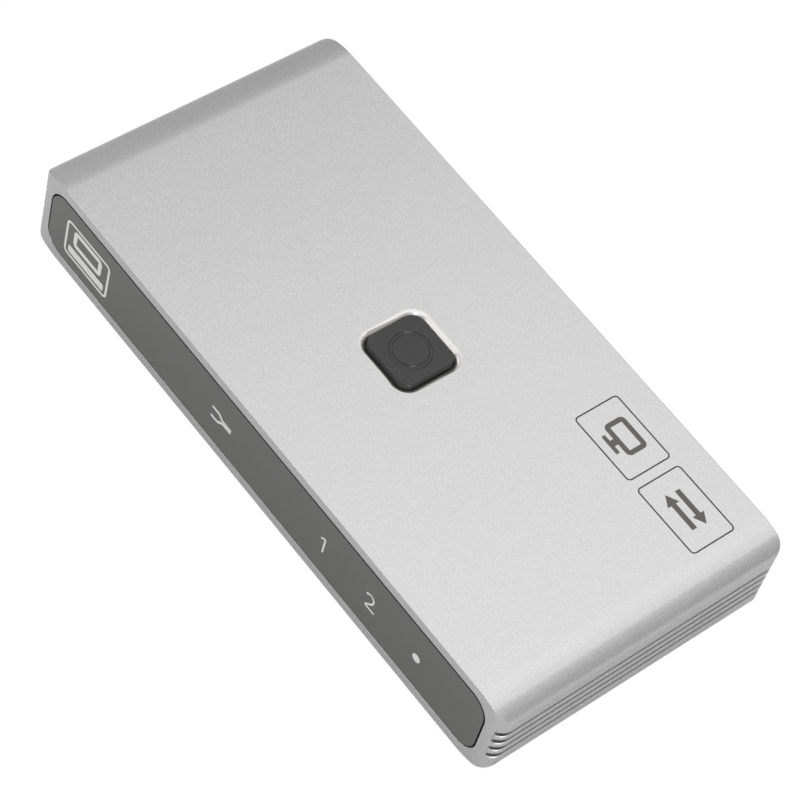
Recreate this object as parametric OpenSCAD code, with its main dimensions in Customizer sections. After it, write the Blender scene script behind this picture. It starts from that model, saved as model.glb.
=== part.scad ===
// Video switch box: an extruded metal sleeve closed by a front and a rear panel. A circuit board
// with two inputs, one output and a power socket slides in rails, and a push button in the
// top works a switch on the board. X runs along the length, Y to the back, Z up, in millimetres.
// The origin is the middle of the surface that the feet stand on.

/* [Sleeve] */
// Length of the sleeve from end to end
case_l = 100; // [98:1:130]
// Depth of the sleeve from front to back
case_w = 48.6; // [47:0.2:70]
// Height of the sleeve without its feet
case_h = 15; // [14.6:0.1:17]
// Thickness of the top and bottom walls
wall = 1.6; // [1.4:0.1:1.8]
// Thickness of the two end walls
end_wall = 2.8; // [2.4:0.1:3.4]
// Length over which the top and the bottom roll into the ends
roll_run = 5.5; // [4.5:0.1:7]
// Height that the roll takes up
roll_drop = 2.6; // [2.2:0.1:3]
// Radius of the tight arc at the end of the roll
roll_tip_r = 1.7; // [1.2:0.1:1.9]
// Radius of the four upright corners
corner_r = 2.3; // [1.8:0.1:3.2]
// Corner radius of the front and rear mouths
mouth_r = 3.2; // [2:0.1:4]

/* [Grooves on the ends] */
// Number of grooves on each end
groove_count = 4; // [1:1:5]
// Height of a groove
groove_h = 1; // [0.6:0.05:1.2]
// Distance from groove to groove
groove_pitch = 1.82; // [1.5:0.02:2]
// Depth of a groove into the end
groove_depth = 1.12; // [0.6:0.02:1.4]
// How far the row of grooves lies below the middle of the end
groove_drop = 0.23; // [0:0.01:0.6]

/* [Front and rear panels] */
// Gap round each panel in its mouth
panel_gap = 0.22; // [0.1:0.02:0.4]
// How far the front panel lies behind the edge of the sleeve
panel_recess = 0.02; // [0.01:0.01:0.6]
// How far the rear panel lies behind the edge of the sleeve
rear_recess = 0.15; // [0.05:0.05:0.6]
// Thickness of the tinted front panel
panel_t = 1; // [0.8:0.1:1.5]
// Thickness of the adhesive sheet behind it
tape_t = 0.15; // [0.1:0.05:0.3]
// Margin of the adhesive sheet inside the panel's edge
tape_margin = 0.8; // [0.4:0.1:2]
// Thickness of the carrier plate behind the front panel
carrier_t = 1.5; // [1.2:0.1:2.5]
// Gap round the carrier plate in the mouth
carrier_gap = 0.1; // [0.05:0.05:0.2]
// Thickness of the rear panel
rear_t = 1.8; // [1.4:0.1:2.5]
// Gap between a socket and its opening in the rear panel
socket_gap = 0.2; // [0.1:0.05:0.3]

/* [Screw bosses and feet] */
// Distance of a boss from the end of the mouth
boss_inset = 6.2; // [5:0.1:7]
// Distance of a boss from the front or the back
boss_setback = 7; // [6:0.1:9]
// Diameter of a boss
boss_d = 5; // [4:0.1:5.4]
// Height of a boss
boss_h = 7; // [6:0.1:9]
// Width of the arm that carries a boss
boss_arm_w = 3; // [2:0.1:4]
// Shank diameter of a screw
screw_d = 2; // [1.6:0.1:2.5]
// Head diameter of a screw
screw_head_d = 3.8; // [3.2:0.1:4.4]
// Length of a screw with its head
screw_l = 6; // [4:0.5:7]
// Gap round a screw in its hole
screw_gap = 0.05; // [0.02:0.01:0.1]
// Diameter of a foot
foot_d = 9; // [6:0.5:12]
// Height of a foot
foot_h = 0.8; // [0.5:0.1:2]
// Rounding of a foot's lower edge
foot_edge = 0.4; // [0.1:0.1:0.45]

/* [Button] */
// Side of the square button cap
cap_side = 9.2; // [8:0.1:11]
// Corner radius of the button cap
cap_r = 1.6; // [1:0.1:2]
// Gap between the cap and its hole
cap_gap = 0.15; // [0.1:0.05:0.3]
// How far the cap stands above the top
cap_proud = 0.2; // [0.1:0.05:1]
// Bevel round the top of the cap
cap_edge = 0.1; // [0.05:0.01:0.15]
// Width of the bevel round the hole in the top
hole_bevel_w = 0.95; // [0.3:0.05:1.2]
// Depth of that bevel
hole_bevel_h = 0.6; // [0.3:0.05:0.9]
// Diameter of the ring groove in the cap, along its middle
ring_d = 5.5; // [4:0.1:6.5]
// Width of the ring groove at the face of the cap
ring_w = 0.6; // [0.4:0.05:0.8]
// Depth of the ring groove
ring_depth = 0.12; // [0.05:0.01:0.15]
// Width of the flange that keeps the cap in
cap_flange_w = 1; // [0.6:0.1:1.5]
// Thickness of the flange
cap_flange_t = 0.8; // [0.6:0.1:1]
// Wall of the hollow cap
cap_wall = 1.2; // [0.8:0.1:1.5]
// Gap between the flange and the top wall at rest
cap_stop_gap = 0.05; // [0.02:0.01:0.1]
// Diameter of the post under the cap
cap_post_d = 4; // [3:0.1:5]
// Length of the post below the flange
cap_post_l = 0.4; // [0.2:0.1:0.8]

/* [Push switch] */
// Side of the switch's square base
switch_side = 6; // [5.5:0.1:6.5]
// Height of the base with its cover
switch_h = 3.5; // [3.2:0.1:3.8]
// Thickness of the metal cover
switch_cover_t = 0.3; // [0.2:0.05:0.4]
// Width of the two ears that the cover folds down
ear_w = 2; // [1.5:0.1:3]
// Height of an ear
ear_h = 1.2; // [0.8:0.1:2]
// Thickness of the floor of the base
switch_floor_t = 0.9; // [0.7:0.1:1.1]
// Diameter of the well in the base
switch_well_d = 4.6; // [4.4:0.1:5]
// Diameter of the plunger
plunger_d = 3.5; // [3:0.1:3.6]
// Diameter of the plunger's foot
plunger_foot_d = 4.3; // [4:0.1:4.3]
// Diameter of the nib below the foot
plunger_nib_d = 1.4; // [1:0.1:2]
// Gap between the nib and the snap dome at rest
nib_gap = 0.02; // [0.01:0.01:0.05]
// Gap round the plunger in the cover
plunger_gap = 0.1; // [0.05:0.05:0.2]
// Gap between the plunger's foot and the cover at rest
plunger_stop_gap = 0.05; // [0.02:0.01:0.1]
// Diameter of the snap dome
dome_d = 4.2; // [3.8:0.1:4.3]
// Rise of the snap dome
dome_rise = 0.55; // [0.45:0.05:0.7]
// Thickness of the snap dome
dome_t = 0.1; // [0.06:0.02:0.14]
// Travel of the button and the plunger
press_travel = 0.25; // [0.15:0.05:0.35]
// Spacing of the switch's legs from row to row
leg_row = 6.5; // [6.3:0.1:7]
// Spacing of the two legs in a row
leg_pitch = 4.5; // [4:0.1:5]
// Width of a leg
leg_w = 0.7; // [0.5:0.1:0.9]
// Thickness of a leg
leg_t = 0.3; // [0.2:0.05:0.4]
// Height of a leg beside the base
leg_rise = 0.5; // [0.3:0.1:1.5]

/* [Circuit board] */
// Thickness of the board
board_t = 1.6; // [1.2:0.1:1.8]
// Height of the board above the inside of the bottom wall
under_board = 1.8; // [1.6:0.1:2.2]
// Gap at each end of the board
board_end_gap = 0.7; // [0.5:0.1:1]
// Gap between the board and the panels
board_face_gap = 0.4; // [0.2:0.1:0.6]
// Gap above and below the board in its rails
rail_gap = 0.1; // [0.05:0.05:0.2]
// Thickness of a rail
rail_t = 1; // [0.8:0.1:1.2]
// Length of a rail's reach over the board
rail_reach = 1.4; // [1:0.1:2]
// How deep a rail is rooted in the end wall
rail_root = 0.6; // [0.3:0.1:0.8]
// Gap between the board's notches and the bosses
notch_gap = 0.6; // [0.3:0.1:1]
// How far wires and legs stand out below the board
lead_below = 1; // [0.6:0.1:1.2]
// Gap round a wire or a leg in its hole
lead_gap = 0.12; // [0.08:0.02:0.2]

/* [Video sockets] */
// Width of a socket's opening
video_w = 14; // [13.8:0.1:14.2]
// Height of a socket's opening
video_h = 4.55; // [4.4:0.05:4.7]
// Width of the slanted lower corner of the opening
video_bevel_w = 1.6; // [1.2:0.1:2]
// Height of the slanted lower corner of the opening
video_bevel_h = 1.9; // [1.5:0.1:2.2]
// Corner radius of the opening
video_r = 0.5; // [0.3:0.05:0.7]
// Thickness of the shell
video_shell_t = 0.35; // [0.25:0.05:0.4]
// Depth of the shell
video_depth = 11.5; // [10:0.1:13]
// Depth of the block at the back of the shell
video_block = 3.6; // [3:0.1:4.5]
// Width of the tongue
video_tongue_w = 11; // [10.4:0.1:11.6]
// Thickness of the tongue
video_tongue_t = 1.1; // [0.9:0.1:1.3]
// Height of the tongue above the lower side of the opening
video_tongue_z = 1.9; // [1.7:0.1:2.1]
// Distance from contact to contact in a row
video_contact_pitch = 1; // [0.9:0.05:1.1]
// Contacts in the upper row
video_contacts = 10; // [8:1:10]
// Distance of the two springs in the upper wall from the middle of a socket
spring_x = 3.4; // [2.5:0.1:4.5]
// Width of a spring
spring_w = 1.6; // [1:0.1:2]
// Slit on each side of a spring
spring_slit = 0.25; // [0.15:0.05:0.4]
// Distance of a spring's tip from the mouth
spring_tip = 1.6; // [1.2:0.1:2.5]
// Length of a spring
spring_l = 4.4; // [3:0.1:6]
// Length of the toe beyond a spring's bend
spring_toe_l = 1.3; // [0.8:0.1:2]
// How far a spring bends into the opening
spring_dip = 0.4; // [0.2:0.05:0.6]

/* [Power socket] */
// Width of the opening
power_w = 7; // [6.8:0.1:7.2]
// Height of the opening
power_h = 2; // [1.8:0.1:2.4]
// Width of the slanted lower corner of the opening
power_bevel_w = 0.8; // [0.6:0.1:1]
// Height of the slanted lower corner of the opening
power_bevel_h = 0.7; // [0.5:0.1:0.9]
// Corner radius of the opening
power_r = 0.3; // [0.2:0.05:0.4]
// Thickness of the shell
power_shell_t = 0.25; // [0.2:0.05:0.3]
// Depth of the shell
power_depth = 5.6; // [5:0.1:7]
// Depth of the block at the back of the shell
power_block = 1.8; // [1.4:0.1:2.4]
// Width of the tongue
power_tongue_w = 4.2; // [3.8:0.1:4.6]
// Thickness of the tongue
power_tongue_t = 0.6; // [0.5:0.05:0.7]
// Height of the tongue above the lower side of the opening
power_tongue_z = 0.8; // [0.7:0.05:1]
// Distance from contact to contact
power_contact_pitch = 0.65; // [0.6:0.05:0.7]
// Contacts in the row
power_contacts = 5; // [4:1:5]

/* [Both kinds of socket] */
// Gap between the outermost sockets and the screw bosses
socket_boss_gap = 2.2; // [1:0.1:3]
// How far a socket's mouth lies inside the rear panel's face
socket_recess = 0.1; // [0:0.05:0.4]
// How far a tongue stops short of the mouth
tongue_setback = 1.2; // [0.8:0.1:2]
// Gap between an insert and its shell
insert_gap = 0.04; // [0.02:0.01:0.08]
// Width of a contact
contact_w = 0.3; // [0.2:0.05:0.4]
// Thickness of a contact
contact_t = 0.12; // [0.1:0.02:0.16]
// Length of a contact's foot on the board
contact_foot = 0.9; // [0.6:0.1:1.2]
// How far a contact stops short of the end of its tongue
contact_setback = 0.7; // [0.3:0.1:1]
// Width of a shell's leg
tab_w = 1.4; // [1:0.1:1.8]
// Distance of the rear legs from the back edge of the board
tab_setback = 2.8; // [2:0.1:3]

/* [Indicator lights] */
// Distance of the power light from the end of the sleeve
light_inset = 15.8; // [14:0.1:18]
// Distance from light to light
light_pitch = 9.88; // [8:0.01:11]
// How far the lights lie below the middle of the mouth
light_drop = 0.2; // [0:0.05:0.4]
// Diameter of a light
led_d = 3; // [2.6:0.1:3]
// Length of a light from its flange to its tip
led_l = 5.3; // [4.5:0.1:6]
// Diameter of a light's flange
led_flange_d = 3.8; // [3.4:0.1:3.9]
// Thickness of a light's flange
led_flange_t = 1; // [0.8:0.1:1.2]
// Gap round a light in its well
well_gap = 0.2; // [0.1:0.05:0.4]
// Gap between a light's tip and the adhesive sheet
led_tip_gap = 0.3; // [0.1:0.05:0.5]
// Distance between a light's two wires
wire_pitch = 2.54; // [2:0.02:2.6]
// Thickness of a wire
wire_t = 0.5; // [0.4:0.05:0.6]
// How far a wire runs back before it bends down
wire_run = 1.5; // [1.2:0.1:2.5]

/* [Chips and small parts] */
// Place of the switching chip
chip_at = [-14, -4];
// Side of the chip's body
chip_side = 10; // [8.5:0.5:10]
// Thickness of the chip's body
chip_t = 1.4; // [1:0.1:1.6]
// Diameter of the dimple that marks the chip's first lead
chip_mark_d = 1; // [0.6:0.1:1.4]
// Depth of that dimple
chip_mark_depth = 0.1; // [0.05:0.05:0.2]
// Distance of the dimple from the chip's sides
chip_mark_inset = 1.3; // [1:0.1:2]
// Distance from lead to lead
chip_pitch = 0.5; // [0.4:0.05:0.5]
// Width of a lead
chip_lead_w = 0.24; // [0.16:0.02:0.3]
// Length of a lead's shoulder, and of its foot
chip_lead_run = 0.5; // [0.4:0.05:0.7]
// Leads on each side of the chip
chip_leads_a_side = 16; // [8:1:16]
// Place of the voltage regulator
regulator_at = [27, 2];
// Size of the regulator's body
regulator_size = [6.5, 3.5, 1.6];
// Width of a regulator's lead, and length of its shoulder and foot
regulator_lead_w = 0.7; // [0.5:0.05:0.9]
// Distance between the regulator's leads
regulator_pitch = 2.3; // [1.8:0.05:2.5]
// Width of the regulator's cooling tab
regulator_tab_w = 3; // [2.5:0.1:4]
// Size of a filter capacitor
capacitor_size = [2, 1.25, 1.1];
// Distance from capacitor to capacitor beside the chip
capacitor_pitch = 4; // [3:0.1:4.5]
// Distance of the capacitors and resistors from the chip's body
capacitor_offset = 4; // [3:0.1:4.5]
// Gap between a capacitor and the regulator
regulator_capacitor_gap = 1.4; // [1:0.1:2]
// Size of a resistor
resistor_size = [1.6, 0.8, 0.45];
// Distance from resistor to resistor
resistor_pitch = 1.6; // [1.2:0.1:2]
// Resistors in the row
resistor_count = 5; // [1:1:6]
// Size of a surge array
surge_size = [2.5, 1, 0.55];
// Distance from surge array to surge array
surge_pitch = 3.2; // [3:0.1:4]
// Surge arrays behind each video socket
surge_count = 4; // [1:1:4]
// Distance of the surge arrays from the sockets' contacts
surge_offset = 2; // [1.5:0.1:3]
// Gap between a chip's body and the board
standoff = 0.1; // [0.05:0.05:0.2]
// Thickness of a chip's lead
chip_lead_t = 0.15; // [0.1:0.05:0.2]

/* [Hidden] */
$fn = 64;

// Extra length that lets a cut pass its faces
over = 1;
// Hair's breadth by which an arc crosses the sides that it meets
lap = 0.0002;
// Reach of the wedge that cuts a sector from a circle, in radii
wedge_reach = 1.5;

// Heights
shell_z = foot_h;
shell_top = shell_z + case_h;
mid_z = shell_z + case_h / 2;
in_floor = shell_z + wall;
in_top = shell_top - wall;
board_z = in_floor + under_board;
board_top = board_z + board_t;
lead_end = board_z - lead_below;
light_z = mid_z - light_drop;

// Mouth of the sleeve and depths of the panels
mouth_l = case_l - 2 * end_wall;
mouth_h = case_h - 2 * wall;
front_y = -case_w / 2;
back_y = case_w / 2;
panel_y = front_y + panel_recess;
tape_y = panel_y + panel_t;
carrier_y = tape_y + tape_t;
carrier_back = carrier_y + carrier_t;
rear_out = back_y - rear_recess;
rear_in = rear_out - rear_t;
board_front = carrier_back + board_face_gap;
board_back = rear_in - board_face_gap;
board_l = mouth_l - 2 * board_end_gap;
socket_mouth = rear_out - socket_recess;

// Places of the bosses, screws and feet
boss_x = mouth_l / 2 - boss_inset;
boss_y = case_w / 2 - boss_setback;
notch_x = boss_x - boss_d / 2 - notch_gap;
notch_y = boss_y - boss_d / 2 - notch_gap;

// Roll of the ends: a wide arc that meets a tight one
roll_r = ((roll_run - roll_tip_r) ^ 2 + roll_drop ^ 2 - roll_tip_r ^ 2) / (2 * (roll_drop - roll_tip_r));
roll_angle = atan2(roll_run - roll_tip_r, roll_r - roll_drop);

// Button and switch
hole_side = cap_side + 2 * cap_gap;
hole_r = cap_r + cap_gap;
bevel_cut_h = hole_bevel_h + over;
cap_flange_top = in_top - cap_stop_gap;
cap_flange_z = cap_flange_top - cap_flange_t;
cap_top = shell_top + cap_proud;
dome_seat = board_top + switch_floor_t;
dome_top = dome_seat + dome_rise;
cover_z = board_top + switch_h - switch_cover_t;
plunger_foot_top = cover_z - plunger_stop_gap;
plunger_foot_z = dome_top + press_travel + dome_t;
plunger_top = cap_flange_z - cap_post_l;
nib_z = dome_top + nib_gap;

// Places of the sockets, spread evenly between the bosses
video_outer_w = video_w + 2 * video_shell_t;
power_outer_w = power_w + 2 * power_shell_t;
socket_row_l = 2 * (boss_x - boss_d / 2 - socket_boss_gap);
socket_space = (socket_row_l - 3 * video_outer_w - power_outer_w) / 3;
socket_pitch = video_outer_w + socket_space;
input_1_x = (video_outer_w - socket_row_l) / 2;
input_2_x = input_1_x + socket_pitch;
output_x = input_2_x + socket_pitch;
power_x = (socket_row_l - power_outer_w) / 2;
video_xs = [input_1_x, input_2_x, output_x];

// Lights, from the first channel to the power light
light_x = [for (i = [2, 1, 0]) case_l / 2 - light_inset - i * light_pitch];
led_tip = tape_y + tape_t + led_tip_gap;
led_back = led_tip + led_l;
wire_y = led_back + wire_run;
well_d = led_d + 2 * well_gap;

silver = [0.78, 0.78, 0.78];
tinted = [0.25, 0.25, 0.24];
black = [0.1, 0.1, 0.1];
bright = [0.8, 0.8, 0.82];
gold = [0.85, 0.68, 0.3];

function unit(v) = v / norm(v);

// Corner of a polygon: the corner point and the directions to its two neighbours
function corner(points, i) =
    let (n = len(points), p = points[i])
    [p, unit(points[(i + n - 1) % n] - p), unit(points[(i + 1) % n] - p)];

// Distance from a corner to the points where an arc of radius r touches its sides
function tangent_l(c, r) = r * sqrt((1 + c[1] * c[2]) / (1 - c[1] * c[2]));

// Centre of that arc
function arc_centre(c, r) = c[0] + unit(c[1] + c[2]) * r / sqrt((1 - c[1] * c[2]) / 2);

// Convex polygon with true arcs of radius r at its corners
module rounded_polygon(points, r) {
    corners = [for (i = [0:len(points) - 1]) corner(points, i)];
    polygon([for (c = corners) each [c[0] + c[1] * tangent_l(c, r), c[0] + c[2] * tangent_l(c, r)]]);
    for (c = corners)
        translate(arc_centre(c, r))
            circle(r + lap);
}

function rectangle(l, w) = [[-l / 2, -w / 2], [l / 2, -w / 2], [l / 2, w / 2], [-l / 2, w / 2]];

module rounded_rectangle(l, w, r) {
    rounded_polygon(rectangle(l, w), r);
}

// Sector of a circle between two angles
module sector(r, from, to) {
    middle = (from + to) / 2;
    intersection() {
        circle(r);
        polygon([[0, 0], for (a = [from, middle, to]) wedge_reach * r * [cos(a), sin(a)]]);
    }
}

// Turns a flat XZ outline into a plate that runs from y0 to y1
module along_y(y0, y1) {
    translate([0, y1, 0])
        rotate([90, 0, 0])
            linear_extrude(y1 - y0)
                children();
}

// Rounded square block with a straight bevel, wide at the top
module flared_block(side, r, h, flare) {
    straight = side / 2 - r;
    for (turn = [0, 90])
        rotate([90, 0, turn])
            linear_extrude(2 * straight, center = true)
                polygon([[-side / 2, 0], [side / 2, 0], [side / 2 + flare, h], [-side / 2 - flare, h]]);
    for (x = [-straight, straight], y = [-straight, straight])
        translate([x, y, 0])
            cylinder(h, r + lap, r + flare + lap);
}

// Same shape on four corners of a rectangle
module at_corners(x, y) {
    for (sx = [-1, 1], sy = [-1, 1])
        translate([sx * x, sy * y, 0])
            children();
}

// End view of the sleeve about its middle: flat top and bottom, with the ends rolled over by two arcs
module sleeve_outline() {
    flat = case_l / 2 - roll_run;
    tip_z = case_h / 2 - roll_drop;
    join_x = flat + roll_r * sin(roll_angle);
    join_z = case_h / 2 - roll_r * (1 - cos(roll_angle));
    quarter = [[flat, case_h / 2], [join_x, join_z], [case_l / 2, tip_z]];
    polygon([
        each [for (i = [0, 1, 2]) quarter[i]],
        each [for (i = [2, 1, 0]) [quarter[i].x, -quarter[i].y]],
        each [for (i = [0, 1, 2]) -quarter[i]],
        each [for (i = [2, 1, 0]) [-quarter[i].x, quarter[i].y]]]);
    for (mx = [0, 1], mz = [0, 1])
        mirror([mx, 0])
            mirror([0, mz]) {
                translate([flat, case_h / 2 - roll_r])
                    sector(roll_r + lap, 90 - roll_angle, 90 + roll_angle);
                translate([case_l / 2 - roll_tip_r, tip_z])
                    circle(roll_tip_r + 2 * lap);
            }
}

// Outline of the front or rear mouth, drawn in by a gap
module mouth_outline(gap) {
    translate([0, mid_z])
        rounded_rectangle(mouth_l - 2 * gap, mouth_h - 2 * gap, mouth_r - gap);
}

// Outside of the sleeve: the extruded profile with its upright corners rounded
module sleeve_body() {
    intersection() {
        along_y(front_y - over, back_y + over)
            translate([0, mid_z])
                sleeve_outline();
        translate([0, 0, shell_z - over])
            linear_extrude(case_h + 2 * over)
                rounded_rectangle(case_l, case_w, corner_r);
    }
}

// Row of grooves that run right along one end
module end_grooves() {
    first_z = mid_z - groove_drop - (groove_count - 1) * groove_pitch / 2 - groove_h / 2;
    for (i = [0:groove_count - 1])
        translate([case_l / 2 - groove_depth, front_y - over, first_z + i * groove_pitch])
            cube([groove_depth + over, case_w + 2 * over, groove_h]);
}

// Pair of rails on one end wall that hold an edge of the board
module rails() {
    root = mouth_l / 2 + rail_root;
    reach = board_l / 2 - rail_reach;
    for (z = [board_z - rail_gap - rail_t, board_top + rail_gap])
        translate([reach, board_front, z])
            cube([root - reach, board_back - board_front, rail_t]);
}

module screw_hole() {
    head_h = (screw_head_d - screw_d) / 2;
    translate([0, 0, shell_z]) {
        cylinder(head_h, screw_head_d / 2 + screw_gap, screw_d / 2 + screw_gap);
        translate([0, 0, -over])
            cylinder(wall + 2 * over, d = screw_d + 2 * screw_gap);
    }
}

module case_sleeve() {
    color(silver)
        difference() {
            union() {
                difference() {
                    sleeve_body();
                    along_y(front_y - over, back_y + over)
                        mouth_outline(0);
                }
                for (m = [0, 1])
                    mirror([m, 0, 0])
                        rails();
            }
            for (m = [0, 1])
                mirror([m, 0, 0])
                    end_grooves();
            translate([0, 0, in_top - over])
                linear_extrude(wall + 2 * over)
                    rounded_rectangle(hole_side, hole_side, hole_r);
            translate([0, 0, shell_top - hole_bevel_h])
                flared_block(hole_side, hole_r, bevel_cut_h, hole_bevel_w * bevel_cut_h / hole_bevel_h);
            at_corners(boss_x, boss_y)
                screw_hole();
        }
}

module front_panel() {
    color(tinted)
        along_y(panel_y, tape_y)
            mouth_outline(panel_gap);
}

module panel_tape() {
    color("white")
        along_y(tape_y, carrier_y)
            difference() {
                mouth_outline(panel_gap + tape_margin);
                light_holes(well_d + 2 * well_gap);
            }
}

// Row of round holes in front of the lights
module light_holes(d) {
    for (x = light_x)
        translate([x, light_z])
            circle(d = d);
}

// Two bosses, each on an arm behind a panel whose inner face is at plate_y
module bosses(plate_y, side) {
    for (sx = [-1, 1])
        difference() {
            union() {
                translate([sx * boss_x, side * boss_y, in_floor])
                    cylinder(boss_h, d = boss_d);
                translate([sx * boss_x - boss_arm_w / 2, min(plate_y, side * boss_y), in_floor])
                    cube([boss_arm_w, abs(plate_y - side * boss_y), boss_h]);
            }
            translate([sx * boss_x, side * boss_y, in_floor - over])
                cylinder(screw_l - wall + 2 * over, d = screw_d + 2 * screw_gap);
        }
}

module front_carrier() {
    color(black) {
        along_y(carrier_y, carrier_back)
            difference() {
                mouth_outline(carrier_gap);
                light_holes(well_d);
            }
        bosses(carrier_back, -1);
    }
}

module rear_panel() {
    color(tinted) {
        along_y(rear_in, rear_out)
            difference() {
                mouth_outline(panel_gap);
                for (x = video_xs)
                    translate([x, board_top])
                        video_outline(video_shell_t + socket_gap);
                translate([power_x, board_top])
                    power_outline(power_shell_t + socket_gap);
            }
        bosses(rear_in, 1);
    }
}

// Socket opening with slanted lower corners, grown by a margin, with the shell's foot at zero
module socket_outline(w, h, bevel_w, bevel_h, r, shell_t, grow) {
    half = w / 2 + grow;
    low = shell_t - grow;
    high = shell_t + h + grow;
    bend = shell_t + bevel_h;
    rounded_polygon([[bevel_w - half, low], [half - bevel_w, low], [half, bend], [half, high],
        [-half, high], [-half, bend]], r + grow);
}

module video_outline(grow) {
    socket_outline(video_w, video_h, video_bevel_w, video_bevel_h, video_r, video_shell_t, grow);
}

module power_outline(grow) {
    socket_outline(power_w, power_h, power_bevel_w, power_bevel_h, power_r, power_shell_t, grow);
}

// Places of a shell's four legs along its depth
function tab_ys(depth) = [socket_mouth - depth + tab_w, board_back - tab_setback];

// Four legs of a shell, let down through the board from its upright sides
module shell_tabs(w, bend, shell_t, depth, gap) {
    for (m = [0, 1], y = tab_ys(depth))
        mirror([m, 0, 0])
            translate([w / 2 - gap, y - tab_w / 2 - gap, lead_end])
                cube([shell_t + 2 * gap, tab_w + 2 * gap, board_top + bend - lead_end]);
}

module video_tabs(gap) {
    shell_tabs(video_w, video_shell_t + video_bevel_h + video_r, video_shell_t, video_depth, gap);
}

module power_tabs(gap) {
    shell_tabs(power_w, power_shell_t + power_bevel_h + power_r, power_shell_t, power_depth, gap);
}

// Strip cut free in a shell's upper wall and bent down into the opening, rooted at its inner end
module shell_spring() {
    inside = board_top + video_shell_t + video_h;
    tip = socket_mouth - spring_tip;
    low = inside - spring_dip;
    rotate([90, 0, 90])
        linear_extrude(spring_w, center = true)
            polygon([[tip - spring_l, inside], [tip - spring_toe_l, low], [tip, inside],
                [tip, inside + video_shell_t], [tip - spring_toe_l, low + video_shell_t],
                [tip - spring_l, inside + video_shell_t]]);
}

// Window in a shell's upper wall round a spring
module spring_window() {
    window_w = spring_w + 2 * spring_slit;
    translate([-window_w / 2, socket_mouth - spring_tip - spring_l, board_top + video_h])
        cube([window_w, spring_l + spring_slit, 2 * video_shell_t + over]);
}

module video_shell(x) {
    color(bright)
        translate([x, 0, 0]) {
            difference() {
                along_y(socket_mouth - video_depth, socket_mouth)
                    translate([0, board_top])
                        difference() {
                            video_outline(video_shell_t);
                            video_outline(0);
                        }
                for (side = [-1, 1])
                    translate([side * spring_x, 0, 0])
                        spring_window();
            }
            for (side = [-1, 1])
                translate([side * spring_x, 0, 0])
                    shell_spring();
            video_tabs(0);
        }
}

// Bent strips side by side: along the tongue, down behind the shell and along the board
module contact_row(count, pitch, z, tip, back) {
    for (i = [0:count - 1])
        translate([(i - (count - 1) / 2) * pitch - contact_w / 2, 0, 0]) {
            translate([0, back - contact_t, z])
                cube([contact_w, tip - back + contact_t, contact_t]);
            translate([0, back - contact_t, board_top])
                cube([contact_w, contact_t, z - board_top + contact_t]);
            translate([0, back - contact_foot, board_top])
                cube([contact_w, contact_foot, contact_t]);
        }
}

module video_contacts(x) {
    tip = socket_mouth - tongue_setback - contact_setback;
    back = socket_mouth - video_depth - insert_gap;
    low = board_top + video_shell_t + video_tongue_z;
    color(gold)
        translate([x, 0, 0]) {
            contact_row(video_contacts, video_contact_pitch, low + video_tongue_t, tip, back);
            contact_row(video_contacts - 1, video_contact_pitch, low - contact_t, tip, back);
        }
}

module video_insert(x) {
    low = board_top + video_shell_t + video_tongue_z;
    start = socket_mouth - video_depth;
    color(black)
        difference() {
            translate([x, 0, 0]) {
                along_y(start, start + video_block)
                    translate([0, board_top])
                        video_outline(-insert_gap);
                translate([-video_tongue_w / 2, start, low])
                    cube([video_tongue_w, video_depth - tongue_setback, video_tongue_t]);
            }
            video_contacts(x);
        }
}

module power_shell() {
    color(bright)
        translate([power_x, 0, 0]) {
            along_y(socket_mouth - power_depth, socket_mouth)
                translate([0, board_top])
                    difference() {
                        power_outline(power_shell_t);
                        power_outline(0);
                    }
            power_tabs(0);
        }
}

module power_contacts() {
    color(gold)
        translate([power_x, 0, 0])
            contact_row(power_contacts, power_contact_pitch,
                board_top + power_shell_t + power_tongue_z + power_tongue_t,
                socket_mouth - tongue_setback - contact_setback, socket_mouth - power_depth - insert_gap);
}

module power_insert() {
    start = socket_mouth - power_depth;
    color(black)
        difference() {
            translate([power_x, 0, 0]) {
                along_y(start, start + power_block)
                    translate([0, board_top])
                        power_outline(-insert_gap);
                translate([-power_tongue_w / 2, start, board_top + power_shell_t + power_tongue_z])
                    cube([power_tongue_w, power_depth - tongue_setback, power_tongue_t]);
            }
            power_contacts();
        }
}

module main_board() {
    color("darkgreen")
        difference() {
            translate([-board_l / 2, board_front, board_z])
                cube([board_l, board_back - board_front, board_t]);
            for (sx = [-1, 1], sy = [-1, 1])
                translate([sx * (notch_x + board_l / 2), sy * (notch_y + case_w / 2), board_z + board_t / 2])
                    cube([board_l, case_w, board_t + 2 * over], center = true);
            at_corners(leg_row / 2, leg_pitch / 2)
                translate([0, 0, board_z - over])
                    cylinder(board_t + 2 * over, d = norm([leg_w, leg_t]) + 2 * lead_gap);
            for (x = light_x, side = [-1, 1])
                translate([x + side * wire_pitch / 2, wire_y - wire_t / 2, board_z - over])
                    cylinder(board_t + 2 * over, d = norm([wire_t, wire_t]) + 2 * lead_gap);
            for (x = video_xs)
                translate([x, 0, 0])
                    video_tabs(lead_gap);
            translate([power_x, 0, 0])
                power_tabs(lead_gap);
        }
}

module switch_base() {
    color(black)
        translate([0, 0, board_top])
            difference() {
                translate([-switch_side / 2, -switch_side / 2, 0])
                    cube([switch_side, switch_side, switch_h - switch_cover_t]);
                translate([0, 0, switch_floor_t])
                    cylinder(switch_h, d = switch_well_d);
            }
}

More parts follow.
